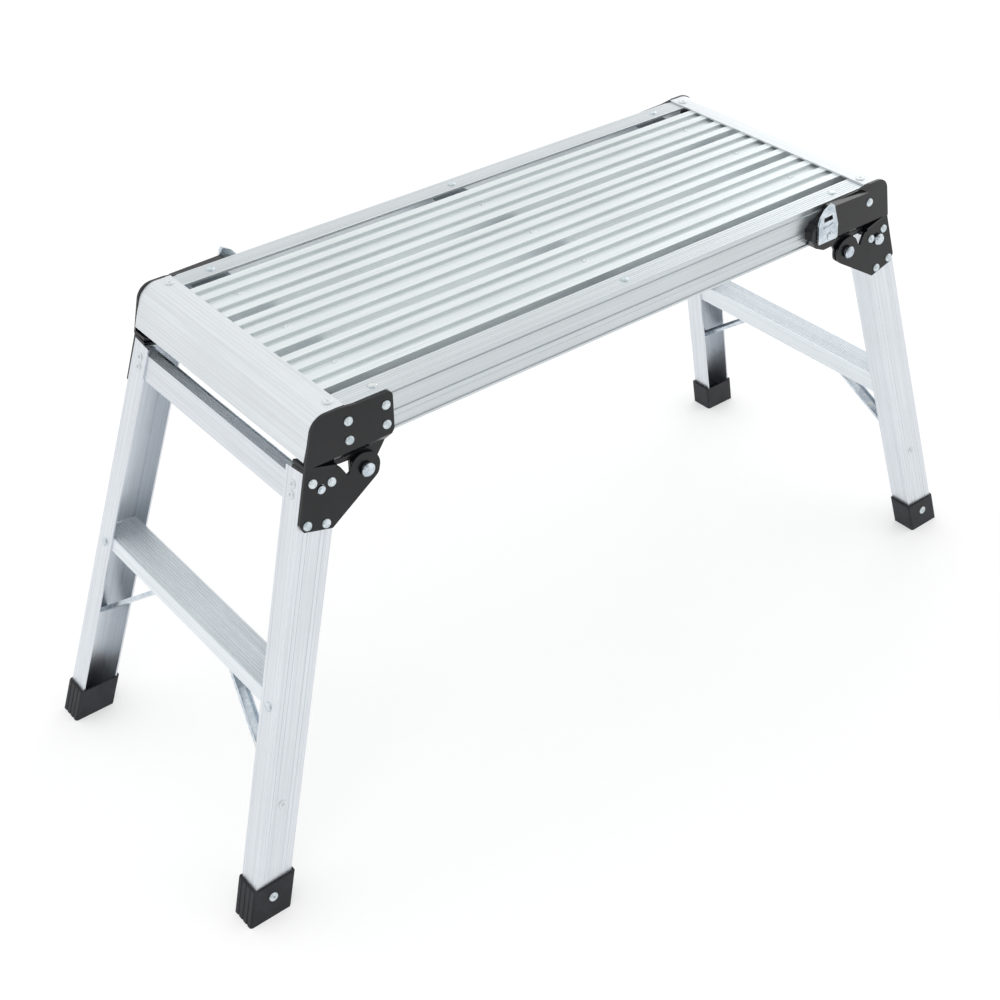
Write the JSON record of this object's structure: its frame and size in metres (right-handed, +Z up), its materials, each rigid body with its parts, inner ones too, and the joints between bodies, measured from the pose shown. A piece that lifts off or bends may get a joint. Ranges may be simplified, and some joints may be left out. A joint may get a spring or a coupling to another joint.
{
  "type": "folding work platform",
  "caption": "Folding aluminium step platform with a ribbed deck, end caps, latched steel corner hinges and two splayed leg frames with treads.",
  "frame": {"origin": "on the floor under the middle of the deck, with the frames open", "axes": "+X along the deck, +Y towards one long side, +Z up; front is the -Y side"},
  "size_m": [1.0354, 0.3962, 0.507],
  "materials": {
    "aluminium": "satin",
    "black_steel": "powder coated",
    "zinc_steel": "zinc plated",
    "rubber": "matt"
  },
  "bodies": {
    "leg_frame_left": {"brace_back_left": "zinc_steel", "brace_front_left": "zinc_steel", "crossbar_left": "aluminium", "foot_back_left": "rubber", "foot_front_left": "rubber", "leg_back_left": "aluminium", "leg_front_left": "aluminium", "leg_plate_back_left": "black_steel", "leg_plate_front_left": "black_steel", "lock_rod_left": "zinc_steel", "tread_left": "aluminium"},
    "leg_frame_right": {"brace_back_right": "zinc_steel", "brace_front_right": "zinc_steel", "crossbar_right": "aluminium", "foot_back_right": "rubber", "foot_front_right": "rubber", "leg_back_right": "aluminium", "leg_front_right": "aluminium", "leg_plate_back_right": "black_steel", "leg_plate_front_right": "black_steel", "lock_rod_right": "zinc_steel", "tread_right": "aluminium"},
    "platform": {"cross_member_left": "aluminium", "cross_member_middle": "aluminium", "cross_member_right": "aluminium", "deck_plank_back": "aluminium", "deck_plank_front": "aluminium", "deck_plank_middle": "aluminium", "end_cap_left": "aluminium", "end_cap_right": "aluminium", "latch_pins": "zinc_steel", "pivot_pins": "zinc_steel", "rail_back": "aluminium", "rail_front": "aluminium", "rail_plate_back_left": "black_steel", "rail_plate_back_right": "black_steel", "rail_plate_front_left": "black_steel", "rail_plate_front_right": "black_steel"},
    "latch_left": {"latch_tab_left": "zinc_steel"},
    "latch_right": {"latch_tab_right": "zinc_steel"}
  },
  "joints": [
    {"name": "fold_left", "type": "hinge", "parent": "platform", "child": "leg_frame_left", "pos_m": [-0.3185, 0, 0.4315], "axis": [0, -1, 0], "range_deg": [0, 107]},
    {"name": "latch_left_turn", "type": "hinge", "parent": "platform", "child": "latch_left", "pos_m": [-0.2725, 0.1605, 0.469], "axis": [0, 1, 0], "range_deg": [0, 20], "stiffness_Nm_per_rad": 0.05, "springref_deg": -20.05},
    {"name": "fold_right", "type": "hinge", "parent": "platform", "child": "leg_frame_right", "pos_m": [0.3185, 0, 0.4315], "axis": [0, 1, 0], "range_deg": [0, 90]},
    {"name": "latch_right_turn", "type": "hinge", "parent": "platform", "child": "latch_right", "pos_m": [0.2725, -0.1605, 0.469], "axis": [0, -1, 0], "range_deg": [0, 20], "stiffness_Nm_per_rad": 0.05, "springref_deg": -20.05}
  ]
}
